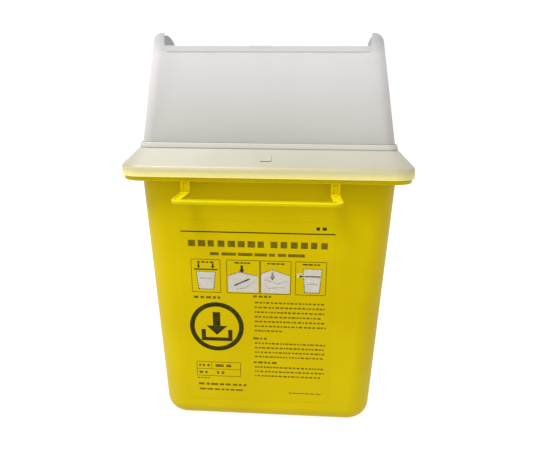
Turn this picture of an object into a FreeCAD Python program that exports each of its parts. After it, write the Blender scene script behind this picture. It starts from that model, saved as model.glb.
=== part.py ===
"""Sharps container of 4 litres: a drafted tub, a press-on lid, a swinging cover and a folding carry handle.

Units are millimetres. The origin is on the floor under the tub's centre, +Z is up and the front,
with the label and the handle, faces -Y. The cover is modelled open, standing at the front of the lid.
"""
import FreeCAD
import Part
import math
import os

from FreeCAD import Vector

os.makedirs("parts", exist_ok=True)

# ---------------------------------------------------------------- driving dimensions
DRAFT = math.tan(math.radians(2.5))  # every tub wall leans in by this much towards the base
TUB_HALF_X = 95.4  # outer half sizes of the tub where it meets its flange
TUB_HALF_Y = 67.4
TUB_CORNER = 20.0
TUB_WALL = 1.8
BASE_FILLET = 13.0

FLANGE_Z = 206.7  # underside of the flange
FLANGE_PLATE = 1.6
FLANGE_HALF_X = 103.9
FLANGE_HALF_Y = 78.4
FLANGE_CORNER = 15.4
FLANGE_RIM_TOP = 213.5
RIDGE = 0.35  # how far the two snap ridges stand out
RIDGE_LOW, RIDGE_HIGH = 0.3, 1.3  # how far each ridge starts and ends from the edge that it lies along

LID_HALF_X = 105.5
LID_HALF_Y = 80.0
LID_CORNER = 17.0
LID_WALL = 1.2
SKIRT_BOTTOM = 210.0
SKIRT_TOP = 216.7
SLOPE_TOP = 228.4
SLOPE_HALF_X = 94.1  # half sizes at the slope's top, which is the collar's foot
SLOPE_HALF_Y = 64.8
SLOPE_CORNER = 9.3
COLLAR_HALF_X = 93.2  # half sizes at the collar's top
COLLAR_HALF_Y = 63.7
COLLAR_CORNER = 8.4
COLLAR_WALL = 0.9
COLLAR_TOP = 232.4
DECK_BOTTOM = 227.6
DECK_TOP = 229.2
SHOULDER_ROUND = 3.5
COLLAR_ROUND = 0.4  # rounding of the collar's top edge
GROOVE_DEPTH = 0.12  # the groove round the foot of the collar
GROOVE_HEIGHT = 0.8
COLLAR_LEAN = 0.25  # how far the collar leans in for each millimetre of height, where the groove is
SHOULDER_WALL = 0.9  # how far the lid's hollow stays inside the slope
HOLLOW_SKIRT = 1.2  # how far below the slope's foot the hollow starts to narrow
SEAT_REACH = 5.0  # how far the seat ring, which rests on the tub's rim, reaches in from the skirt's face
SEAT_THICK = 1.4
RING_BITE = 0.2  # how far the rings inside the skirt run into its wall
STOP_WALL_DEPTH = 6.0  # the stiffening wall under the deck, behind the mouth
STOP_WALL_THICK = 1.4
LEDGE_X = 45.0
LEDGE_HALF = 8.0
LEDGE_REACH = 2.6
LEDGE_THICK = 1.6
LEDGE_GAP = 0.35
SOCKET_R = 5.2
SOCKET_END = 98.5
TAB_SIZE = (7.8, 6.0, 1.2)  # the small raised tab on the front slope: across, up the slope, thick
TAB_ROUND = 0.6
TAB_START = 7.2  # from the skirt's top, up the slope
NEEDLE_HOLE_Y = 42.0
NEEDLE_HOLE_R = 6.0
NEEDLE_SLOT = 26.0  # from the hole's centre to the slot's narrow end
NEEDLE_SLOT_HALF = 1.0

HINGE_Y = -57.1
HINGE_Z = 226.0
ROLL = 4.8  # outer radius of the cover's rolled foot, and the panel's distance from the hinge axis
LEAN = 2.65  # degrees that the open cover leans forward
COVER_WALL = 1.6
COVER_HALF_X = 91.9
COVER_TAPER = 0.187  # half width lost for each millimetre of height
TAPER_START = 6.4
COVER_CORNER = 8.0
PANEL_TOP = 72.4  # height above the hinge axis
CHEEK_TOP = 80.4
CHEEK_ROUND = 25.0  # rounding of each cheek's upper rear corner
CHEEK_ROUND_Y = 12.5  # its centre, behind the hinge axis
CHEEK_DRAFT = 0.25  # how far each cheek leans in for each millimetre behind the panel
EAR_ROUND = 8.5
FOOT_ROUND = 6.5  # rounding of the two lower corners, which pass the mouth's corners
EAR_EASE = 0.1
EAR_STRIP = 9.5
COVER_BELOW = 12.0  # how far below the hinge axis the cover's rough block starts
LIP_HEIGHT = 3.8
LIP_PROUD = 0.3
LIP_BEHIND = 1.4
LIP_ROUND = 0.25
LIP_MARGIN = 1.5  # from each ear to the lip
NOTCH_X = -3.6  # the thumb notch is a shallow recess in the lip's front
NOTCH_HALF_TOP, NOTCH_HALF_FOOT = 7.8, 6.3
NOTCH_HEIGHT = 1.9
NOTCH_DEPTH = 1.2

TRUNNION_R = 1.5
TRUNNION_END = 94.1
TRUNNION_END_GAP = 0.3
BOSS_R = 3.6  # boss inside each cheek, which backs its trunnion
BOSS_START = 85.6
RUNNING_GAP = 0.05
PART_GAP = 0.35  # clearance round the moving cover
MOUTH_EASE = 4.5  # how much further back the mouth starts to narrow than the cover does
MOUTH_CORNER = 5.0  # rounding of the mouth's front corners

HANDLE_X = -3.6  # the handle sits a little to the left of the middle
HANDLE_GAP_HALF = 49.6
STRAP = 6.5
EYE_HALF = STRAP / 6  # the eye takes the middle third of the strap's width
HANDLE_FLARE = 0.7  # how much further out each arm is at the front than at its pivot
HANDLE_CORNER = 7.5
HANDLE_INNER_CORNER = 1.6
STRAP_THICK = 2.4
STRAP_TOP = 199.4
HANDLE_INNER_Y = -102.0
PIVOT_Y = -80.0
KNUCKLE_R = 1.3
EYE_R = 1.4
PIVOT_PIN_R = 0.7
EYE_HOLE_R = 0.76
KNUCKLE_SLOT = 0.3
KNUCKLE_SIDE_GAP = 0.2
KNUCKLE_INSET = 0.1  # how far the knuckle and the pin stay inside the strap's sides
PIN_INSET = 0.5
WEB_HALF = 0.8  # half height of the web that joins the eye to its strap
WEB_BITE = 0.5  # how far the web runs into the strap
STRAP_GROOVE = 0.45
STRAP_MARGIN = 1.5  # width of the bead on each side of the strap's groove
LUG_THICK = 1.7
GROOVE_END = 0.5  # how far the strap's groove stops short of the flange and of the eye
TOP_GROOVE_END = 1.2  # how far the loop's groove stops short of the knuckles
EDGE_ROUND = 0.5

LABEL_WIDTH = 116.5
LABEL_HEIGHT = 156.5
LABEL_X = -6.5
LABEL_Z = 97.8
LABEL_THICK = 0.15
LABEL_CORNER = 1.5

BIG = 400.0
LONG_EDGE = 50.0  # edges longer than this run along a whole panel
NEAR = 0.1  # how close to a plane an edge must lie to be picked
X_AXIS = Vector(1, 0, 0)
ORIGIN = Vector(0, 0, 0)
SIDES = (-1, 1)


# ---------------------------------------------------------------- helpers
def quarter_arc(middle, corner, quarter):
    """The two ends and the edge of a quarter circle about middle that starts at 90 degrees times quarter."""
    angles = [math.radians(90 * quarter + 45 * k) for k in range(3)]
    points = [middle + Vector(math.cos(a), math.sin(a), 0) * corner for a in angles]
    return points[0], points[2], Part.Arc(*points).toShape()


def rounded_rect(half_x, half_y, corner, z):
    """A closed wire at height z: a rectangle with round corners."""
    arcs = []
    for quarter, (sx, sy) in enumerate(((1, 1), (-1, 1), (-1, -1), (1, -1))):
        middle = Vector(sx * (half_x - corner), sy * (half_y - corner), z)
        arcs.append(quarter_arc(middle, corner, quarter))
    edges = []
    for quarter, (_, end, arc) in enumerate(arcs):
        next_start = arcs[(quarter + 1) % 4][0]
        edges += [arc, Part.LineSegment(end, next_start).toShape()]
    return Part.Wire(edges)


def loft(wires):
    return Part.makeLoft(wires, True, True)


def plate(half_x, half_y, corner, z0, z1):
    """A flat plate with round corners from z0 to z1."""
    return Part.Face(rounded_rect(half_x, half_y, corner, z0)).extrude(Vector(0, 0, z1 - z0))


def inset_plate(outline, inset, z0, z1):
    """A plate like outline, which is (half_x, half_y, corner), moved in by inset on every side."""
    return plate(*[size - inset for size in outline], z0, z1)


def box(x0, x1, y0, y1, z0, z1):
    return Part.makeBox(x1 - x0, y1 - y0, z1 - z0, Vector(x0, y0, z0))


def closed(points):
    """The closed wire of straight edges through points."""
    return Part.makePolygon(points + [points[0]])


def polygon(points, depth):
    """Extrudes the closed polygon through points along the vector depth."""
    return Part.Face(closed(points)).extrude(depth)


def x_cylinder(radius, x0, x1, y, z):
    return Part.makeCylinder(radius, x1 - x0, Vector(x0, y, z), X_AXIS)


def side_cylinder(radius, side, near, far, y, z):
    """A cylinder along X from near to far, on the side that is -1 or 1."""
    return x_cylinder(radius, min(side * near, side * far), max(side * near, side * far), y, z)


def edges_at(shape, z, tolerance=0.05):
    """The edges that lie flat at height z."""
    return [e for e in shape.Edges
            if abs(e.BoundBox.ZMin - z) < tolerance and abs(e.BoundBox.ZMax - z) < tolerance]


def tub_section(z, inset):
    """The tub's outline at height z, moved in by inset."""
    shrink = (FLANGE_Z - z) * DRAFT + inset
    return rounded_rect(TUB_HALF_X - shrink, TUB_HALF_Y - shrink, TUB_CORNER - inset, z)


def tub_solid(bottom, top, inset, fillet):
    solid = loft([tub_section(bottom, inset), tub_section(top, inset)])
    return solid.makeFillet(fillet, edges_at(solid, bottom))


def strap_left(side):
    """The left edge, in X, of the handle's strap on this side."""
    return HANDLE_X + (HANDLE_GAP_HALF if side > 0 else -HANDLE_GAP_HALF - STRAP)


# ---------------------------------------------------------------- tub
def make_lug(side):
    """A strap that hangs from the flange and carries the eye of one handle pivot."""
    x0 = strap_left(side)
    middle = x0 + STRAP / 2
    pivot_z = STRAP_TOP - STRAP_THICK / 2
    face_y = -FLANGE_HALF_Y
    foot = pivot_z - EYE_R
    strap = box(x0, x0 + STRAP, face_y, face_y + LUG_THICK, foot, FLANGE_Z + FLANGE_PLATE)
    strap = strap.makeFillet(EDGE_ROUND, edges_at(strap, foot))
    groove = box(x0 + STRAP_MARGIN, x0 + STRAP - STRAP_MARGIN, face_y - 1, face_y + STRAP_GROOVE,
                 pivot_z + EYE_R + GROOVE_END, FLANGE_Z - GROOVE_END)
    eye = x_cylinder(EYE_R, middle - EYE_HALF, middle + EYE_HALF, PIVOT_Y, pivot_z)
    web = box(middle - EYE_HALF, middle + EYE_HALF, PIVOT_Y, face_y + WEB_BITE,
              pivot_z - WEB_HALF, pivot_z + WEB_HALF)
    hole = x_cylinder(EYE_HOLE_R, x0 - 1, x0 + STRAP + 1, PIVOT_Y, pivot_z)
    return strap.cut(groove).fuse([eye, web]).cut(hole)


def make_tub():
    plate_top = FLANGE_Z + FLANGE_PLATE
    outside = tub_solid(0, plate_top, 0, BASE_FILLET)
    inside = tub_solid(TUB_WALL, plate_top + 1, TUB_WALL, BASE_FILLET - TUB_WALL)
    outline = (FLANGE_HALF_X, FLANGE_HALF_Y, FLANGE_CORNER)
    flange = inset_plate(outline, 0, FLANGE_Z, FLANGE_RIM_TOP)
    flange = flange.makeFillet(EDGE_ROUND, edges_at(flange, FLANGE_Z))
    trough = inset_plate(outline, FLANGE_PLATE, plate_top, FLANGE_RIM_TOP + 1)
    ridge = inset_plate(outline, -RIDGE, FLANGE_RIM_TOP - RIDGE_HIGH, FLANGE_RIM_TOP - RIDGE_LOW).cut(trough)
    solid = outside.fuse([flange.cut(trough), ridge] + [make_lug(side) for side in SIDES])
    return solid.cut(inside).removeSplitter()


# ---------------------------------------------------------------- carry handle
def handle_plate(half, front_y, corner, z0, z1):
    """A plate from behind the pivots to front_y, a little wider at the front, with round front corners."""
    back_y = PIVOT_Y + 6
    flare = HANDLE_FLARE / (PIVOT_Y - HANDLE_INNER_Y)
    wide, narrow = half + flare * (PIVOT_Y - front_y), half + flare * (PIVOT_Y - back_y)
    corners = [(-narrow, back_y), (-wide, front_y), (wide, front_y), (narrow, back_y)]
    solid = polygon([Vector(HANDLE_X + x, y, z0) for x, y in corners], Vector(0, 0, z1 - z0))
    upright = [e for e in solid.Edges if e.BoundBox.ZLength > 0.9 * (z1 - z0)]
    return solid.makeFillet(corner, [e for e in upright if e.BoundBox.YMax < front_y + NEAR])


def make_handle():
    """A flat U-shaped loop with a forked knuckle and a stub pin at each root."""
    z0 = STRAP_TOP - STRAP_THICK
    pivot_z = STRAP_TOP - STRAP_THICK / 2
    front_y = HANDLE_INNER_Y - STRAP
    outer = handle_plate(HANDLE_GAP_HALF + STRAP, front_y, HANDLE_CORNER, z0, STRAP_TOP)
    inner = handle_plate(HANDLE_GAP_HALF, HANDLE_INNER_Y, HANDLE_INNER_CORNER, z0 - 1, STRAP_TOP + 1)
    loop = outer.cut(inner)
    loop = loop.makeFillet(EDGE_ROUND, edges_at(loop, STRAP_TOP) + edges_at(loop, z0))

    # A shallow groove runs round the top of the loop, as far as the knuckles.
    groove_z = STRAP_TOP - STRAP_GROOVE
    groove = handle_plate(HANDLE_GAP_HALF + STRAP - STRAP_MARGIN, front_y + STRAP_MARGIN,
                          HANDLE_CORNER - STRAP_MARGIN, groove_z, STRAP_TOP + 1)
    island = handle_plate(HANDLE_GAP_HALF + STRAP_MARGIN, HANDLE_INNER_Y - STRAP_MARGIN,
                          HANDLE_INNER_CORNER + STRAP_MARGIN, groove_z - 1, STRAP_TOP + 2)
    groove_back = PIVOT_Y - EYE_R - KNUCKLE_SLOT - TOP_GROOVE_END
    groove = groove.cut(island).cut(box(-BIG, BIG, groove_back, BIG, z0 - 2, STRAP_TOP + 2))
    solid = loop.cut(groove).cut(box(-BIG, BIG, PIVOT_Y, BIG, z0 - 2, STRAP_TOP + 2))

    for side in SIDES:
        x0 = strap_left(side)
        x1 = x0 + STRAP
        middle = (x0 + x1) / 2
        slot = EYE_HALF + KNUCKLE_SIDE_GAP
        solid = solid.fuse(x_cylinder(KNUCKLE_R, x0 + KNUCKLE_INSET, x1 - KNUCKLE_INSET, PIVOT_Y, pivot_z))
        solid = solid.cut(x_cylinder(EYE_R + KNUCKLE_SLOT, middle - slot, middle + slot, PIVOT_Y, pivot_z))
        solid = solid.fuse(x_cylinder(PIVOT_PIN_R, x0 + PIN_INSET, x1 - PIN_INSET, PIVOT_Y, pivot_z))
    return solid.removeSplitter()


# ---------------------------------------------------------------- lid
def make_lid_outside():
    wires = [rounded_rect(LID_HALF_X, LID_HALF_Y, LID_CORNER, SKIRT_BOTTOM),
             rounded_rect(LID_HALF_X, LID_HALF_Y, LID_CORNER, SKIRT_TOP),
             rounded_rect(SLOPE_HALF_X, SLOPE_HALF_Y, SLOPE_CORNER, SLOPE_TOP),
             rounded_rect(COLLAR_HALF_X, COLLAR_HALF_Y, COLLAR_CORNER, COLLAR_TOP)]
    solid = loft(wires)
    solid = solid.makeFillet(SHOULDER_ROUND, edges_at(solid, SKIRT_TOP))
    solid = solid.makeFillet(COLLAR_ROUND, edges_at(solid, COLLAR_TOP))
    outline = (SLOPE_HALF_X, SLOPE_HALF_Y, SLOPE_CORNER)
    groove_top = SLOPE_TOP + GROOVE_HEIGHT
    core = inset_plate(outline, GROOVE_DEPTH + COLLAR_LEAN * GROOVE_HEIGHT, SLOPE_TOP - 1, groove_top + 1)
    return solid.cut(inset_plate(outline, -1, SLOPE_TOP, groove_top).cut(core))


def make_lid_inside():
    """The hollow under the deck."""
    skirt = (LID_HALF_X - LID_WALL, LID_HALF_Y - LID_WALL, LID_CORNER - LID_WALL)
    deck = (SLOPE_HALF_X - SHOULDER_WALL, SLOPE_HALF_Y - SHOULDER_WALL, SLOPE_CORNER - SHOULDER_WALL)
    levels = [(skirt, SKIRT_BOTTOM - 1), (skirt, SKIRT_TOP - HOLLOW_SKIRT),
              (deck, DECK_BOTTOM - SHOULDER_WALL), (deck, DECK_BOTTOM)]
    return loft([rounded_rect(*outline, z) for outline, z in levels])


def cheek_rim():
    """Points (y, z) along a cheek's round corner, from its top down, with the hinge axis at the origin."""
    angles = [math.radians(90 - 10 * k) for k in range(12)]
    middle_z = CHEEK_TOP - CHEEK_ROUND
    return [(CHEEK_ROUND_Y + CHEEK_ROUND * math.cos(a), middle_z + CHEEK_ROUND * math.sin(a)) for a in angles]


def cheek_reach():
    """The radius about the hinge axis that the cheeks sweep."""
    return math.hypot(CHEEK_ROUND_Y, CHEEK_TOP - CHEEK_ROUND) + CHEEK_ROUND


def ear_inner_x():
    """How near the middle the mouth's ear notches reach, so that the ears and the cheeks' rims pass."""
    inner = [cheek_start(z, COVER_WALL) - CHEEK_DRAFT * (y + ROLL)
             for y, z in cheek_rim() if math.hypot(y, z) > PANEL_TOP]
    return min(inner + [window_half()]) - PART_GAP


def make_opening():
    """The mouth in the deck: it follows the closed cover, with a notch behind for each ear."""
    front_y = -COLLAR_HALF_Y + COLLAR_WALL
    rear_y = HINGE_Y + PANEL_TOP + PART_GAP
    ear_y = HINGE_Y + cheek_reach() + PART_GAP
    wide = cover_half_width(0) + PART_GAP
    narrow = cover_half_width(cheek_reach() + PART_GAP - MOUTH_EASE) + PART_GAP
    ear_inner = ear_inner_x()
    right = [(wide, front_y), (wide, HINGE_Y + TAPER_START + MOUTH_EASE),
             (narrow, ear_y), (ear_inner, ear_y), (ear_inner, rear_y)]
    left = [(-x, y) for x, y in reversed(right)]
    below = SKIRT_BOTTOM - 5
    mouth = polygon([Vector(x, y, below) for x, y in right + left], Vector(0, 0, DECK_TOP + 1 - below))
    front = [e for e in mouth.Edges if e.BoundBox.YMax < front_y + NEAR and e.BoundBox.ZLength > 1]
    return mouth.makeFillet(MOUTH_CORNER, front)


def make_needle_notch():
    """A round hole that narrows to a slot, for pulling a needle off its holder."""
    below, depth = DECK_BOTTOM - 1, 4
    lean = math.asin(NEEDLE_HOLE_R / NEEDLE_SLOT)  # each side of the slot touches the hole
    touch_x = NEEDLE_HOLE_R * math.cos(lean)
    touch_y = NEEDLE_HOLE_Y - NEEDLE_HOLE_R * math.sin(lean)
    end_y = NEEDLE_HOLE_Y - NEEDLE_SLOT
    corners = [(-touch_x, touch_y), (-NEEDLE_SLOT_HALF, end_y), (NEEDLE_SLOT_HALF, end_y), (touch_x, touch_y)]
    slot = polygon([Vector(x, y, below) for x, y in corners], Vector(0, 0, depth))
    return Part.makeCylinder(NEEDLE_HOLE_R, depth, Vector(0, NEEDLE_HOLE_Y, below)).fuse(slot)


def make_fitting_rings():
    """Inside the skirt: the ring that sits on the tub's rim, and the ridge that snaps under it."""
    outline = (LID_HALF_X, LID_HALF_Y, LID_CORNER)
    seat = inset_plate(outline, LID_WALL - RING_BITE, FLANGE_RIM_TOP, FLANGE_RIM_TOP + SEAT_THICK)
    seat = seat.cut(inset_plate(outline, SEAT_REACH, FLANGE_RIM_TOP - 1, FLANGE_RIM_TOP + 2))
    ridge = inset_plate(outline, LID_WALL - RING_BITE, SKIRT_BOTTOM + RIDGE_LOW, SKIRT_BOTTOM + RIDGE_HIGH)
    ridge = ridge.cut(inset_plate(outline, LID_WALL + RIDGE, SKIRT_BOTTOM - 1, SKIRT_BOTTOM + 2))
    return [seat, ridge]


def make_stops():
    """Behind the mouth: a stiffening wall that hangs down, with two ledges that stop the closed cover."""
    front_y = HINGE_Y + PANEL_TOP + PART_GAP
    back_y = front_y + STOP_WALL_THICK
    half = ear_inner_x() - PART_GAP
    wall = box(-half, half, front_y, back_y, DECK_BOTTOM - STOP_WALL_DEPTH, DECK_TOP)
    top = HINGE_Z + ROLL - COVER_WALL - LIP_BEHIND - LEDGE_GAP
    ledges = [box(x - LEDGE_HALF, x + LEDGE_HALF, front_y - LEDGE_REACH, back_y, top - LEDGE_THICK, top)
              for x in (-LEDGE_X, LEDGE_X)]
    return [wall] + ledges


def make_tab():
    """The small raised tab in the middle of the front slope."""
    across, along, thick = TAB_SIZE
    tab = Part.makeBox(across, along, thick, Vector(-across / 2, TAB_START, -thick / 2))
    tab = tab.makeFillet(TAB_ROUND, [e for e in tab.Edges if e.BoundBox.ZLength > 1])
    slope = math.atan2(SLOPE_TOP - SKIRT_TOP, LID_HALF_Y - SLOPE_HALF_Y)
    tab.rotate(ORIGIN, X_AXIS, math.degrees(slope))
    tab.translate(Vector(0, -LID_HALF_Y, SKIRT_TOP))
    return tab


def make_lid():
    outside = make_lid_outside()
    collar = (COLLAR_HALF_X, COLLAR_HALF_Y, COLLAR_CORNER)
    recess = inset_plate(collar, COLLAR_WALL, DECK_TOP, COLLAR_TOP + 1)
    shell = outside.cut([make_lid_inside(), recess]).fuse(make_fitting_rings())

    # Sockets for the cover's trunnions, kept inside the slope.
    socket_start = cover_half_width(0) + PART_GAP
    sockets = [outside.common(side_cylinder(SOCKET_R, side, socket_start, SOCKET_END, HINGE_Y, HINGE_Z))
               for side in SIDES]
    hole_end = TRUNNION_END + TRUNNION_END_GAP
    holes = [side_cylinder(TRUNNION_R + RUNNING_GAP, side, BOSS_START, hole_end, HINGE_Y, HINGE_Z)
             for side in SIDES]
    solid = shell.cut([make_opening(), make_needle_notch()])
    return solid.fuse(make_stops() + sockets).cut(holes).fuse(make_tab()).removeSplitter()


# ---------------------------------------------------------------- cover
def tapered_half(distance):
    """Half the width between the cover's slanting edges, at this distance from the hinge axis."""
    return COVER_HALF_X - COVER_TAPER * (distance - TAPER_START)


def cover_half_width(distance):
    """Half the cover's width there: its foot is as wide as it is at the collar's top."""
    return min(COVER_HALF_X, tapered_half(distance))


def window_half():
    """Half the width of the gap between the two ears, above the panel."""
    return cover_half_width(PANEL_TOP) - EAR_STRIP


def cheek_start(distance, inset):
    """Where a cheek's face would meet the panel's, so that their round corner reaches out to the taper."""
    corner_angle = math.pi / 2 - math.atan(CHEEK_DRAFT)
    corner_spread = (COVER_CORNER - inset) * (1 / math.tan(corner_angle / 2) - 1)
    return tapered_half(distance) - inset + corner_spread


def cover_block(inset):
    """The cover before hollowing, with its hinge axis at the origin.

    Its cheeks lean in behind the panel, so that they swing down within the panel's own width.
    """
    front, back = -ROLL + inset, CHEEK_TOP
    wires = []
    for z in (-COVER_BELOW, CHEEK_TOP + 5):
        edge = cheek_start(z, inset)
        rear = edge - CHEEK_DRAFT * (back - front)
        corners = [(-edge, front), (edge, front), (rear, back), (-rear, back)]
        wires.append(closed([Vector(x, y, z) for x, y in corners]))
    block = loft(wires)
    upright = [e for e in block.Edges
               if e.BoundBox.ZLength > LONG_EDGE and e.BoundBox.YMax < front + NEAR]
    block = block.makeFillet(COVER_CORNER - inset, upright)
    half = COVER_HALF_X - inset
    return block.common(box(-half, half, -BIG, BIG, -BIG, BIG))


def around(middle, radius, angle):
    """The point at this angle, from +Y towards +Z, on a circle in the side view."""
    return middle + Vector(0, math.cos(angle), math.sin(angle)) * radius


def side_profile():
    """Side view of the cover: an upright panel, a round foot, and a cheek that narrows down to the foot."""
    middle = Vector(0, CHEEK_ROUND_Y, CHEEK_TOP - CHEEK_ROUND)
    # The cheek's rear edge is the line that touches its round corner and the foot, at this angle on both.
    touch = math.atan2(middle.z, middle.y) - math.acos((ROLL - CHEEK_ROUND) / middle.Length)
    high = [around(middle, CHEEK_ROUND, a) for a in (math.pi / 2, (math.pi / 2 + touch) / 2, touch)]
    low = [around(ORIGIN, ROLL, a) for a in (touch, (touch - math.pi) / 2, -math.pi)]
    top = Vector(0, -ROLL, CHEEK_TOP)
    wire = Part.Wire([Part.LineSegment(low[2], top).toShape(), Part.LineSegment(top, high[0]).toShape(),
                      Part.Arc(*high).toShape(), Part.LineSegment(high[2], low[0]).toShape(),
                      Part.Arc(*low).toShape()])
    solid = Part.Face(wire).extrude(Vector(2 * BIG, 0, 0))
    solid.translate(Vector(-BIG, 0, 0))
    return solid


def ear_outline():
    """Front view of the cover: a trapezium, a hair wider than the cover, with four round corners."""
    wide, top, foot = COVER_HALF_X + EAR_EASE, CHEEK_TOP + EAR_EASE, -ROLL - EAR_EASE
    right = [(wide, foot), (wide, TAPER_START), (cover_half_width(CHEEK_TOP) + EAR_EASE, top)]
    left = [(-x, z) for x, z in reversed(right)]
    solid = polygon([Vector(x, -CHEEK_TOP, z) for x, z in right + left], Vector(0, 3 * CHEEK_TOP, 0))
    for height, radius in ((top, EAR_ROUND), (foot, FOOT_ROUND)):
        corners = [e for e in solid.Edges
                   if e.BoundBox.YLength > LONG_EDGE and abs(e.CenterOfMass.z - height) < NEAR]
        solid = solid.makeFillet(radius, corners)
    return solid


def make_cavity():
    """The space behind the panel and between the cheeks, with its hinge axis at the origin."""
    inner_r = ROLL - COVER_WALL
    half_way = inner_r * math.sqrt(0.5)
    foot, bottom = Vector(-BIG, -inner_r, 0), Vector(-BIG, 0, -inner_r)
    arc = Part.Arc(foot, Vector(-BIG, -half_way, -half_way), bottom).toShape()
    corners = [bottom, Vector(-BIG, 0, -BIG), Vector(-BIG, BIG, -BIG), Vector(-BIG, BIG, BIG),
               Vector(-BIG, -inner_r, BIG), foot]
    sides = [Part.LineSegment(a, b).toShape() for a, b in zip(corners, corners[1:])]
    return Part.Face(Part.Wire([arc] + sides)).extrude(Vector(2 * BIG, 0, 0)).common(cover_block(COVER_WALL))


def make_lip():
    """The thicker lip along the panel's top edge, with the recess of its thumb notch."""
    half = window_half() - LIP_MARGIN
    front_y, back_y = -ROLL - LIP_PROUD, -ROLL + COVER_WALL + LIP_BEHIND
    lip = box(-half, half, front_y, back_y, PANEL_TOP - LIP_HEIGHT, PANEL_TOP)
    lip = lip.makeFillet(LIP_ROUND, [e for e in lip.Edges if e.BoundBox.XLength > LONG_EDGE])
    foot_z = PANEL_TOP - NOTCH_HEIGHT
    corners = [(-NOTCH_HALF_FOOT, foot_z), (NOTCH_HALF_FOOT, foot_z),
               (NOTCH_HALF_TOP, PANEL_TOP + 1), (-NOTCH_HALF_TOP, PANEL_TOP + 1)]
    notch = polygon([Vector(NOTCH_X + x, front_y - 1, z) for x, z in corners], Vector(0, 1 + NOTCH_DEPTH, 0))
    return lip, notch


def make_cover():
    outline = ear_outline()
    outside = cover_block(0).common(side_profile()).common(outline)
    half = window_half()
    window = box(-half, half, -ROLL - 2, -ROLL + COVER_WALL + 2, PANEL_TOP, BIG)
    lip, notch = make_lip()
    trunnions = [side_cylinder(TRUNNION_R, side, BOSS_START, TRUNNION_END, 0, 0) for side in SIDES]
    core = cover_block(COVER_WALL / 2).common(outline)
    bosses = [core.common(side_cylinder(BOSS_R, side, BOSS_START, COVER_HALF_X, 0, 0)) for side in SIDES]
    solid = outside.cut([make_cavity(), window]).fuse([lip] + bosses).cut(notch)
    solid = solid.fuse(trunnions).removeSplitter()
    solid.rotate(ORIGIN, X_AXIS, LEAN)
    solid.translate(Vector(0, HINGE_Y, HINGE_Z))
    return solid


# ---------------------------------------------------------------- label
def make_label():
    """A thin rectangular sticker that lies on the tub's front wall."""
    solid = plate(LABEL_WIDTH / 2, LABEL_HEIGHT / 2, LABEL_CORNER, 0, LABEL_THICK)
    lean = math.degrees(math.atan(DRAFT))
    solid.rotate(ORIGIN, X_AXIS, 90 + lean)
    wall_y = -(TUB_HALF_Y - (FLANGE_Z - LABEL_Z) * DRAFT)
    solid.translate(Vector(LABEL_X, wall_y, LABEL_Z))
    return solid


PARTS = {
    "container_body": make_tub,
    "carry_handle": make_handle,
    "lid": make_lid,
    "front_cover": make_cover,
    "front_label": make_label,
}

for name, make in PARTS.items():
    shape = make()
    print(name, "valid", shape.isValid(), "solids", len(shape.Solids), "cm3", round(shape.Volume / 1000, 2))
    shape.exportStep("parts/" + name + ".step")
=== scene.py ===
"""Looks of the sharps container: plastics, the label's print, studio floor, light and camera.

Lengths are metres, apart from the print's layout, which is millimetres on the label.
"""
import math
import random

import bmesh
import bpy
from mathutils import Matrix, Vector


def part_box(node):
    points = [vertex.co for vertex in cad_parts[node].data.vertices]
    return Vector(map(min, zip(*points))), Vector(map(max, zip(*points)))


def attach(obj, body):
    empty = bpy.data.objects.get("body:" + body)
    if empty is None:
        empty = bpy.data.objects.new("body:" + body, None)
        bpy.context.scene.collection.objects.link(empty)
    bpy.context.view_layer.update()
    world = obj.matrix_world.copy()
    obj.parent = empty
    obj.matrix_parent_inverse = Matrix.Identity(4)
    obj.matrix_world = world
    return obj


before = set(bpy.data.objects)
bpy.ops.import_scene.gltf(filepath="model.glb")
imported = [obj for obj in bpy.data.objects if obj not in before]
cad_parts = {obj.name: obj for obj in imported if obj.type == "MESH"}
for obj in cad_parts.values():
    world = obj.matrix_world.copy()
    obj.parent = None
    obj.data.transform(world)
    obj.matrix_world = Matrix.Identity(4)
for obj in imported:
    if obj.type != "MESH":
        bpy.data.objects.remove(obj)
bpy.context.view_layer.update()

MM = 0.001


# ---------------------------------------------------------------- colours
def linear(red, green, blue):
    """A colour given as 0 to 255 display values, in scene-linear light."""
    def channel(value):
        share = value / 255
        return share / 12.92 if share <= 0.04045 else ((share + 0.055) / 1.055) ** 2.4
    return (channel(red), channel(green), channel(blue), 1.0)


def grey(value):
    return (value, value, value, 1.0)


# ---------------------------------------------------------------- camera
CAMERA_PLACE = (0.0246, -0.4153, 0.2682)
CAMERA_YAW = 3.54  # degrees towards -X
CAMERA_PITCH = 15.19  # degrees down
CAMERA_ROLL = 0.384  # degrees
CAMERA_CLIP = 0.01
LENS = 32.72  # millimetres, as is the sensor's width
SENSOR = 36.0


def add_camera():
    data = bpy.data.cameras.new("camera")
    data.lens = LENS
    data.sensor_width = SENSOR
    data.clip_start = CAMERA_CLIP
    camera = bpy.data.objects.new("camera", data)
    turn = Matrix.Rotation(math.radians(CAMERA_YAW), 4, "Z")
    tilt = Matrix.Rotation(math.radians(90 - CAMERA_PITCH), 4, "X")
    roll = Matrix.Rotation(math.radians(CAMERA_ROLL), 4, "Z")
    camera.matrix_world = Matrix.Translation(CAMERA_PLACE) @ turn @ tilt @ roll
    bpy.context.scene.collection.objects.link(camera)
    bpy.context.scene.camera = camera


# ---------------------------------------------------------------- light and floor
WORLD_STRENGTH = 1.02
KEY_PLACE = (-0.42, -0.5, 1.36)
KEY_TARGET = (0, -0.05, 0.16)
KEY_SIZE = (0.8, 0.6)
KEY_POWER = 34.0
FLOOR_RADIUS = 8.0
FLOOR_SIDES = 96
FLOOR_GREYS = (grey(0.16), grey(0.18))
FLOOR_GLOW = 0.88


def add_world():
    world = bpy.data.worlds.new("studio")
    world.use_nodes = True
    background = world.node_tree.nodes["Background"]
    background.inputs["Color"].default_value = grey(1.0)
    background.inputs["Strength"].default_value = WORLD_STRENGTH
    bpy.context.scene.world = world


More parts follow.
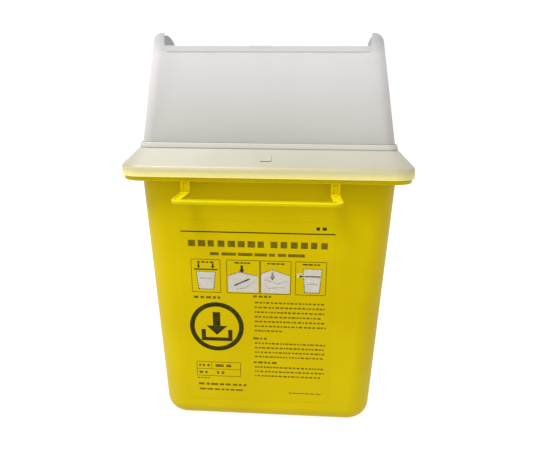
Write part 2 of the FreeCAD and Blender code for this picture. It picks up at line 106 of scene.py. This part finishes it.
def add_key_light():
    data = bpy.data.lights.new("key", "AREA")
    data.shape = "RECTANGLE"
    data.size, data.size_y = KEY_SIZE
    data.energy = KEY_POWER
    light = bpy.data.objects.new("key", data)
    light.location = KEY_PLACE
    direction = Vector(KEY_TARGET) - Vector(KEY_PLACE)
    light.rotation_euler = direction.to_track_quat("-Z", "Y").to_euler()
    bpy.context.scene.collection.objects.link(light)


def add_floor():
    mesh = bpy.data.meshes.new("floor")
    bm = bmesh.new()
    bmesh.ops.create_circle(bm, cap_ends=True, segments=FLOOR_SIDES, radius=FLOOR_RADIUS)
    bm.to_mesh(mesh)
    bm.free()
    floor = bpy.data.objects.new("floor", mesh)
    bpy.context.scene.collection.objects.link(floor)
    mesh.materials.append(floor_material())


# ---------------------------------------------------------------- materials
NOISE_SPAN = (0.3, 0.7)  # the values that a noise node gives over most of a surface


class Shader:
    """A new material with a Principled shader, and short ways to add the nodes that it needs."""

    def __init__(self, name):
        self.material = bpy.data.materials.new(name)
        self.material.use_nodes = True
        self.tree = self.material.node_tree
        self.principled = self.tree.nodes["Principled BSDF"]
        self.coordinates = self.add("ShaderNodeTexCoord").outputs["Object"]

    def add(self, kind):
        return self.tree.nodes.new(kind)

    def link(self, source, target):
        self.tree.links.new(source, target)

    def feed(self, socket, value):
        """Gives a socket a fixed value, or links another node's output to it."""
        if isinstance(value, bpy.types.NodeSocket):
            self.link(value, socket)
        else:
            socket.default_value = value

    def set(self, **values):
        """Feeds the Principled shader's inputs, named with _ for each space."""
        for name, value in values.items():
            self.feed(self.principled.inputs[name.replace("_", " ")], value)

    def noise(self, scale, detail=3.0, roughness=0.5):
        node = self.add("ShaderNodeTexNoise")
        node.inputs["Scale"].default_value = scale
        node.inputs["Detail"].default_value = detail
        node.inputs["Roughness"].default_value = roughness
        self.link(self.coordinates, node.inputs["Vector"])
        return node.outputs["Fac"]

    def spread(self, value, span, result=(0.0, 1.0)):
        """Maps value from the range span to the range result, and holds it at the ends."""
        node = self.add("ShaderNodeMapRange")
        names = ("From Min", "From Max", "To Min", "To Max")
        for name, number in zip(names, span + result):
            node.inputs[name].default_value = number
        self.link(value, node.inputs["Value"])
        return node.outputs["Result"]

    def vary(self, grain, middle, change):
        """A value that the grain moves between middle plus the one and plus the other number of change."""
        lowest, highest = change
        return self.spread(grain, NOISE_SPAN, (middle + lowest, middle + highest))

    def height(self):
        """The height above the floor in metres, before the piece is posed."""
        node = self.add("ShaderNodeSeparateXYZ")
        self.link(self.coordinates, node.inputs["Vector"])
        return node.outputs["Z"]

    def mix(self, factor, first, second):
        """Mixes two colours, each of which is a fixed colour or another node's output."""
        node = self.add("ShaderNodeMix")
        node.data_type = "RGBA"
        self.link(factor, node.inputs["Factor"])
        self.feed(node.inputs[6], first)
        self.feed(node.inputs[7], second)
        return node.outputs[2]

    def bump(self, pattern, height, over=None):
        """A bump whose pattern stands up to this height in metres, on top of the bump over."""
        node = self.add("ShaderNodeBump")
        node.inputs["Strength"].default_value = 1.0
        node.inputs["Distance"].default_value = height
        self.link(pattern, node.inputs["Height"])
        if over is not None:
            self.link(over, node.inputs["Normal"])
        return node.outputs["Normal"]


PLASTIC_IOR = 1.49
YELLOW_SHEEN = (1.0, 0.86, 0.08, 1.0)
YELLOW_SPECULAR = 0.13
YELLOW_GRAIN = 0.00003  # heights of the fine grains, in metres
CLEAR_GRAIN = 0.00002
INK_GRAIN = 0.00001
YELLOW_VARY = (-0.05, 0.07)  # how far the grain changes the roughness
CLEAR_VARY = (-0.06, 0.08)
CLEAR_WAVES = 0.0006  # height of the walls' waves, in metres
CLOUD_COLOUR = (0.9, 0.88, 0.8, 1.0)
CLOUDINESS = 0.08
SPECKLE_COLOUR = (0.3, 0.29, 0.27, 1.0)
SPECKLE = 0.07
SPECK_SPAN = (0.35, 0.65)  # the noise values over which specks, and worn ink, come in
WORN_SPAN = (0.35, 0.75)
LID_PAINTED_SHADE_STOPS = (  # height in metres and colour, from top to bottom: painted shade at the collar and shoulder, and the yellow rim painted onto the skirt as if seen through it
    (0.2300, linear(186, 184, 173)),
    (0.2284, linear(164, 161, 149)),
    (0.2200, linear(160, 156, 138)),
    (0.2170, linear(160, 154, 120)),
    (0.2150, linear(204, 196, 142)),
    (0.2105, linear(240, 228, 132)),
)
# painted shade by height, laid out as above: the top edge and the lip darker, the panel lightest below the
# lip and darker towards its foot
COVER_PAINTED_SHADE_STOPS = (
    (0.3010, linear(177, 177, 181)),
    (0.2985, linear(188, 187, 188)),
    (0.2948, linear(190, 190, 186)),
    (0.2938, linear(201, 197, 199)),
    (0.2600, linear(188, 185, 183)),
    (0.2320, linear(176, 175, 167)),
)
YELLOW_PIECES = (  # CAD node, material, light and deep colour, roughness, height of the walls' waves
    ("container_body", "tub_plastic", linear(178, 157, 1), linear(171, 149, 0), 0.45, 0.0012),
    ("carry_handle", "handle_plastic", linear(172, 158, 3), linear(166, 152, 1), 0.4, 0.0002),
    ("front_label", "label_film", linear(176, 155, 1), linear(170, 148, 0), 0.38, 0.0008),
)
CLEAR_PIECES = (  # CAD node, material, colours by height with painted shade and painted see-through, transmission, roughness
    ("lid", "lid_plastic", LID_PAINTED_SHADE_STOPS, 0.42, 0.45),
    ("front_cover", "cover_plastic", COVER_PAINTED_SHADE_STOPS, 0.35, 0.4),
)


def floor_material():
    shader = Shader("pale_floor")
    mottle = shader.noise(scale=30.0)
    shader.set(Base_Color=shader.mix(mottle, *FLOOR_GREYS))
    shader.set(Roughness=0.7, Specular_IOR_Level=0.1)
    shader.set(Emission_Color=grey(1.0), Emission_Strength=FLOOR_GLOW)
    return shader.material


def yellow_plastic(name, light_colour, deep_colour, roughness, wave):
    """Opaque yellow polypropylene: a soft sheen, slow colour drift, fine grain and slightly wavy walls."""
    shader = Shader(name)
    drift = shader.noise(scale=14.0, detail=2.0)
    shader.set(Base_Color=shader.mix(shader.spread(drift, NOISE_SPAN), deep_colour, light_colour))
    grain = shader.noise(scale=900.0, detail=4.0)
    shader.set(Roughness=shader.vary(grain, roughness, YELLOW_VARY))
    waves = shader.bump(shader.noise(scale=9.0, detail=1.0), wave)
    shader.set(Normal=shader.bump(grain, YELLOW_GRAIN, waves))
    shader.set(IOR=PLASTIC_IOR, Specular_IOR_Level=YELLOW_SPECULAR, Specular_Tint=YELLOW_SHEEN)
    return shader.material


def painted_shade_by_height(shader, stops):
    """A colour that changes with height: painted shade, and colour painted in where what lies behind clear
    plastic would show through.
    """
    height = shader.height()
    above, body = stops[0]
    for below, colour in stops[1:]:
        body = shader.mix(shader.spread(height, (above, below)), body, colour)
        above = below
    return body


def clear_plastic(name, stops, transmission, roughness):
    """Natural polypropylene, milky and translucent, with faint clouds and specks over painted shade by
    height.
    """
    shader = Shader(name)
    drift = shader.noise(scale=11.0, detail=2.0)
    clouds = shader.spread(drift, NOISE_SPAN, (0.0, CLOUDINESS))
    clouds_over_painted_shade = shader.mix(clouds, painted_shade_by_height(shader, stops), CLOUD_COLOUR)
    dust = shader.noise(scale=620.0, detail=4.0, roughness=0.7)
    specks = shader.spread(dust, SPECK_SPAN, (0.0, SPECKLE))
    shader.set(Base_Color=shader.mix(specks, clouds_over_painted_shade, SPECKLE_COLOUR))
    grain = shader.noise(scale=700.0)
    shader.set(Roughness=shader.vary(grain, roughness, CLEAR_VARY))
    waves = shader.bump(shader.noise(scale=13.0, detail=1.0), CLEAR_WAVES)
    shader.set(Normal=shader.bump(grain, CLEAR_GRAIN, waves))
    shader.set(IOR=PLASTIC_IOR, Transmission_Weight=transmission)
    return shader.material


def ink(name, colour, worn):
    """Matt printing ink that is a little thinner in places."""
    shader = Shader(name)
    patches = shader.noise(scale=260.0)
    shader.set(Base_Color=shader.mix(shader.spread(patches, WORN_SPAN), colour, worn))
    shader.set(Roughness=0.5, Specular_IOR_Level=0.08)
    shader.set(Normal=shader.bump(shader.noise(scale=1500.0), INK_GRAIN))
    return shader.material


def dress(node, material):
    """Gives a carried-over CAD node its material."""
    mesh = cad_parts[node].data
    mesh.materials.clear()
    mesh.materials.append(material)


def dress_all():
    for node, *looks in YELLOW_PIECES:
        dress(node, yellow_plastic(*looks))
    for node, *looks in CLEAR_PIECES:
        dress(node, clear_plastic(*looks))


# ---------------------------------------------------------------- the label's print
LABEL_WIDTH = 116.5
LABEL_THICK = 0.15
INK_LOW, INK_HIGH = 0.01, 0.04  # how far the back and the front of the print stand out from the label
RING_SIDES = 72
SHORTEST_WORD = 0.35  # as a share of the longest
WORD_GAPS = (0.5, 0.9)  # smallest and widest, as a share of the bars' height


class Print:
    """One mesh of thin closed prisms. Points are (across, down) from the label's top left corner."""

    def __init__(self, name):
        self.name = name
        self.bm = bmesh.new()
        low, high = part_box("front_label")
        self.corner = Vector((low[0], low[1], high[2]))
        foot = Vector((low[0], high[1] - LABEL_THICK * MM, low[2]))
        self.down = (foot - self.corner).normalized()
        self.out = self.down.cross(Vector((1, 0, 0))).normalized()
        if self.out.y > 0:
            self.out.negate()

    def place(self, point, lift):
        across, down = point
        return self.corner + (Vector((across, 0, 0)) + self.down * down + self.out * lift) * MM

    def polygon(self, points):
        """A prism over the polygon through points, in either order."""
        back = [self.bm.verts.new(self.place(point, INK_LOW)) for point in points]
        front = [self.bm.verts.new(self.place(point, INK_HIGH)) for point in points]
        self.bm.faces.new(front)
        self.bm.faces.new(list(reversed(back)))
        for k in range(len(points)):
            n = (k + 1) % len(points)
            self.bm.faces.new((back[k], back[n], front[n], front[k]))

    def bar(self, left, top, right, bottom):
        self.polygon([(left, bottom), (right, bottom), (right, top), (left, top)])

    def line(self, start, end, width):
        start, end = Vector(start), Vector(end)
        along = (end - start).normalized() * width / 2
        side = Vector((-along.y, along.x))
        self.polygon([start + side, end + side, end - side, start - side])

    def dashes(self, points, width, dash, gap):
        """A dashed line along the path through points."""
        for start, end in zip(points, points[1:]):
            start, end = Vector(start), Vector(end)
            length = (end - start).length
            direction = (end - start) / length
            at = 0.0
            while at < length:
                stop = min(at + dash, length)
                if stop - at > width / 2:
                    self.line(start + direction * at, start + direction * stop, width)
                at += dash + gap

    def border(self, left, top, right, bottom, width):
        """The four lines of a box, of which the upright ones stand between the others."""
        for y in (top, bottom):
            self.line((left, y), (right, y), width)
        for x in (left, right):
            self.line((x, top + width), (x, bottom - width), width)

    def ring(self, middle, outer, inner):
        """A flat ring as one closed prism."""
        x, y = middle
        angles = [2 * math.pi * k / RING_SIDES for k in range(RING_SIDES)]
        rings = []
        for radius, lift in ((outer, INK_LOW), (outer, INK_HIGH), (inner, INK_HIGH), (inner, INK_LOW)):
            points = [(x + radius * math.cos(a), y + radius * math.sin(a)) for a in angles]
            rings.append([self.bm.verts.new(self.place(point, lift)) for point in points])
        for first, second in zip(rings, rings[1:] + rings[:1]):
            for k in range(RING_SIDES):
                n = (k + 1) % RING_SIDES
                self.bm.faces.new((first[k], first[n], second[n], second[k]))

    def words(self, left, right, middle, height, longest, rng):
        """A line of plain bars, with gaps between them as between words."""
        at = left
        while at < right:
            width = min(rng.uniform(SHORTEST_WORD, 1.0) * longest, right - at)
            if width > height / 2:
                self.bar(at, middle - height / 2, at + width, middle + height / 2)
            at += width + rng.uniform(*WORD_GAPS) * height

    def finish(self, material):
        bmesh.ops.recalc_face_normals(self.bm, faces=self.bm.faces)
        mesh = bpy.data.meshes.new(self.name)
        self.bm.to_mesh(mesh)
        self.bm.free()
        mesh.materials.append(material)
        piece = bpy.data.objects.new(self.name, mesh)
        bpy.context.scene.collection.objects.link(piece)
        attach(piece, "root")


# ---------------------------------------------------------------- the four drawings
BOXES = ((7.3, 29.6), (34.6, 60.0), (60.6, 83.8), (87.4, 110.6))  # left and right of the drawings' frames
BOX_TOP, BOX_BOTTOM = 31.4, 58.8
BOX_LINE = 0.4
CAPTION_HALF = 6.5
CAPTION = (33.6, 1.1, 4.0)  # down to its middle, its height and its longest bar
OUTLINE = (0.75, 1.1, 1.0)  # width, dash and gap of the drawings' dashed outlines
SHAFT_LENGTH = 0.55  # an arrow's shaft, as shares of the arrow's length and width
SHAFT_HALF = 0.22
HEAD_GAP = 0.01
FOOT_SHARE = 0.78  # how wide a drawn tub is at its foot, as a share of its top


def down_arrow(target, x, top, length, width):
    """An arrow that points down, as a shaft and a head that nearly touch."""
    neck = top + length * SHAFT_LENGTH
    shoulder = neck + HEAD_GAP
    target.bar(x - width * SHAFT_HALF, top, x + width * SHAFT_HALF, neck)
    target.polygon([(x - width / 2, shoulder), (x, top + length), (x + width / 2, shoulder)])


def about(middle, *points):
    """Points whose first number is measured from the drawing's middle."""
    return [(middle + x, y) for x, y in points]


def tub_shape(middle, top, half_width, height):
    """The outline of a small tub seen from the front, wider at its top."""
    foot = half_width * FOOT_SHARE
    bottom = top + height
    return about(middle, (-half_width, top), (half_width, top), (foot, bottom), (-foot, bottom))


def draw_open_tub(dark, pale, middle):
    """First drawing: the lid comes down on the tub."""
    outline = tub_shape(middle, top=41.5, half_width=7.4, height=14.5)
    pale.polygon(outline)
    dark.dashes(outline + outline[:1], *OUTLINE)
    dark.line(*about(middle, (-9.0, 39.6), (9.0, 39.6)), width=1.0)
    dark.dashes(about(middle, (-4.5, 47.0), (4.5, 47.0)), *OUTLINE)
    for x in (middle - 5.5, middle + 5.5):
        down_arrow(dark, x, top=34.6, length=4.2, width=2.8)


def draw_drop(dark, pale, middle):
    """Second drawing: a thin object falls through the mouth."""
    outline = about(middle, (-11.6, 44.5), (-3, 41), (11.4, 44.5), (11.4, 57.8), (-11.6, 57.8))
    pale.polygon(outline)
    dark.dashes(outline[:3], *OUTLINE)
    dark.line(*about(middle, (-7, 52.5), (5, 46.6)), width=1.1)
    dark.dashes(about(middle, (-9, 55.6), (1, 54.6), (9, 48.6)), *OUTLINE)
    down_arrow(dark, middle - 1.0, top=35.6, length=6.4, width=4.2)


def draw_close(dark, pale, middle):
    """Third drawing: the cover is pressed down."""
    outline = about(middle, (-11.0, 42.0), (-3, 38.6), (10.8, 43.2), (10.8, 57.8), (-11.0, 57.8))
    pale.polygon(outline)
    dark.dashes(outline[:3], *OUTLINE)
    dark.dashes(about(middle, (-8.5, 47.0), (2, 50.0), (8.5, 47.4)), *OUTLINE)
    down_arrow(dark, middle - 2.4, top=40.0, length=7.4, width=4.4)
    dark.dashes(about(middle, (-7, 54.0), (7, 53.0)), *OUTLINE)


def draw_full(dark, pale, middle):
    """Fourth drawing: the closed tub with its fill line."""
    outline = tub_shape(middle + 1.2, top=37.2, half_width=7.2, height=19.5)
    pale.polygon(outline)
    dark.dashes(outline + outline[:1], *OUTLINE)
    dark.bar(middle - 4.6, 42.8, middle + 7.4, 43.8)
    dark.dashes(about(middle, (-2.6, 49.6), (5.0, 49.6)), *OUTLINE)
    pale.bar(middle - 10.4, 41.0, middle - 6.2, 44.4)
    dark.polygon(about(middle, (-8.6, 41.9), (-5.4, 43.3), (-8.6, 44.7)))


def print_drawings(dark, pale, rng):
    drawings = (draw_open_tub, draw_drop, draw_close, draw_full)
    for (left, right), draw in zip(BOXES, drawings):
        middle = (left + right) / 2
        dark.border(left, BOX_TOP, right, BOX_BOTTOM, BOX_LINE)
        dark.words(middle - CAPTION_HALF, middle + CAPTION_HALF, *CAPTION, rng)
        draw(dark, pale, middle)


# ---------------------------------------------------------------- title, emblem and text
# A line of words is given as its left, right, middle, height and longest bar.
TITLE_RULE = (0.3, 8.7, LABEL_WIDTH - 0.3, 9.6)  # left, top, right and bottom
TITLE_CODE = (102.0, 110.5, 5.0, 2.4, 3.5)
TITLE_SUBLINE = (22.0, 94.0, 26.6, 2.4, 13.0)
TITLE_BLOCKS = 14
TITLE_FIRST_WORD = 8  # blocks before the gap
TITLE_LEFT = 5.6
TITLE_PITCH = 7.55
TITLE_SPACE = 2.2
TITLE_TOP, TITLE_BOTTOM = 15.9, 20.9
TITLE_WIDTHS = (4.6, 5.8)  # narrowest and widest block

EMBLEM_X, EMBLEM_Y = 25.6, 88.9  # its middle, from which the sizes below are measured
EMBLEM_RADII = (21.6, 17.8)
ARROW_HALF, ARROW_TOP, ARROW_NECK = 3.0, -13.0, -1.0
HEAD_HALF, HEAD_TOP, HEAD_TIP = 8.4, -0.9, 7.2
TRAY_OUTER, TRAY_INNER = 12.4, 9.0
TRAY_TOP, TRAY_WALL_END, TRAY_FLOOR, TRAY_BOTTOM = 2.4, 9.4, 9.5, 12.6

TABLE = (8.1, 121.3, 44.2, 134.4)
TABLE_BORDER = 0.5
TABLE_LINES = (((8.4, 127.9), (43.9, 127.9)), ((20.4, 121.7), (20.4, 127.6)))
TABLE_LINE = 0.4
TABLE_WORDS = (
    (10.0, 18.6, 124.6, 2.2, 4.4),
    (23.5, 37.0, 124.6, 2.4, 7.0),
    (10.0, 19.4, 131.2, 2.2, 4.4),
    (24.5, 31.0, 131.2, 2.4, 5.0),
    (8.3, 19.0, 136.6, 0.9, 3.0),
    (9.0, 49.0, 142.4, 1.9, 6.0),
    (9.6, 47.5, 147.4, 1.5, 6.0),
)

PARAGRAPHS = (  # down to its heading, the heading's length, down to its first line, the length of each line
    (61.2, 14.0, 5.3, (55, 56, 55, 53, 55, 56, 22)),
    (98.1, 12.0, 4.3, (56, 55, 56, 55)),
    (120.1, 19.0, 4.3, (55, 56, 54)),
)
HEADING_LEFT = 54.8
HEADING_BARS = (1.7, 4.5)  # height and longest bar
LINE_LEFT = 56.0
LINE_BARS = (1.35, 3.0)
LINE_PITCH = 4.1
SINGLE_LINES = ((84.0, 110.0, 148.2, 0.8, 5.0), (8.3, 29.5, 63.2, 2.0, 5.0))


def print_title(dark, text, rng):
    dark.bar(*TITLE_RULE)
    dark.words(*TITLE_CODE, rng)
    for k in range(TITLE_BLOCKS):
        left = TITLE_LEFT + k * TITLE_PITCH + (TITLE_SPACE if k >= TITLE_FIRST_WORD else 0)
        text.bar(left, TITLE_TOP, left + rng.uniform(*TITLE_WIDTHS), TITLE_BOTTOM)
    text.words(*TITLE_SUBLINE, rng)


def print_emblem(dark):
    """A plain ring round an arrow that points into an open tray."""
    x, y = EMBLEM_X, EMBLEM_Y
    dark.ring((x, y), *EMBLEM_RADII)
    dark.bar(x - ARROW_HALF, y + ARROW_TOP, x + ARROW_HALF, y + ARROW_NECK)
    dark.polygon([(x - HEAD_HALF, y + HEAD_TOP), (x, y + HEAD_TIP), (x + HEAD_HALF, y + HEAD_TOP)])
    dark.bar(x - TRAY_OUTER, y + TRAY_TOP, x - TRAY_INNER, y + TRAY_WALL_END)
    dark.bar(x + TRAY_INNER, y + TRAY_TOP, x + TRAY_OUTER, y + TRAY_WALL_END)
    dark.bar(x - TRAY_OUTER, y + TRAY_FLOOR, x + TRAY_OUTER, y + TRAY_BOTTOM)


def print_table(text, rng):
    text.border(*TABLE, TABLE_BORDER)
    for start, end in TABLE_LINES:
        text.line(start, end, TABLE_LINE)
    for line in TABLE_WORDS:
        text.words(*line, rng)


def print_paragraphs(text, rng):
    """The small text in the right column, and two single lines."""
    for top, heading, drop, lines in PARAGRAPHS:
        text.words(HEADING_LEFT, HEADING_LEFT + heading, top, *HEADING_BARS, rng)
        for k, length in enumerate(lines):
            text.words(LINE_LEFT, LINE_LEFT + length, top + drop + k * LINE_PITCH, *LINE_BARS, rng)
    for line in SINGLE_LINES:
        text.words(*line, rng)


def print_label():
    rng = random.Random(5)
    dark, pale, text = Print("print_dark"), Print("print_pale"), Print("print_text")
    print_title(dark, text, rng)
    print_drawings(dark, pale, rng)
    print_emblem(dark)
    print_table(text, rng)
    print_paragraphs(text, rng)
    dark.finish(ink("ink_dark", linear(36, 32, 1), linear(56, 50, 2)))
    text.finish(ink("ink_text", linear(86, 72, 1), linear(108, 92, 2)))
    pale.finish(ink("ink_pale", linear(176, 170, 160), linear(166, 160, 148)))


# ---------------------------------------------------------------- making
add_camera()
add_world()
add_floor()
add_key_light()
dress_all()
print_label()

bpy.context.scene.view_settings.view_transform = "Standard"
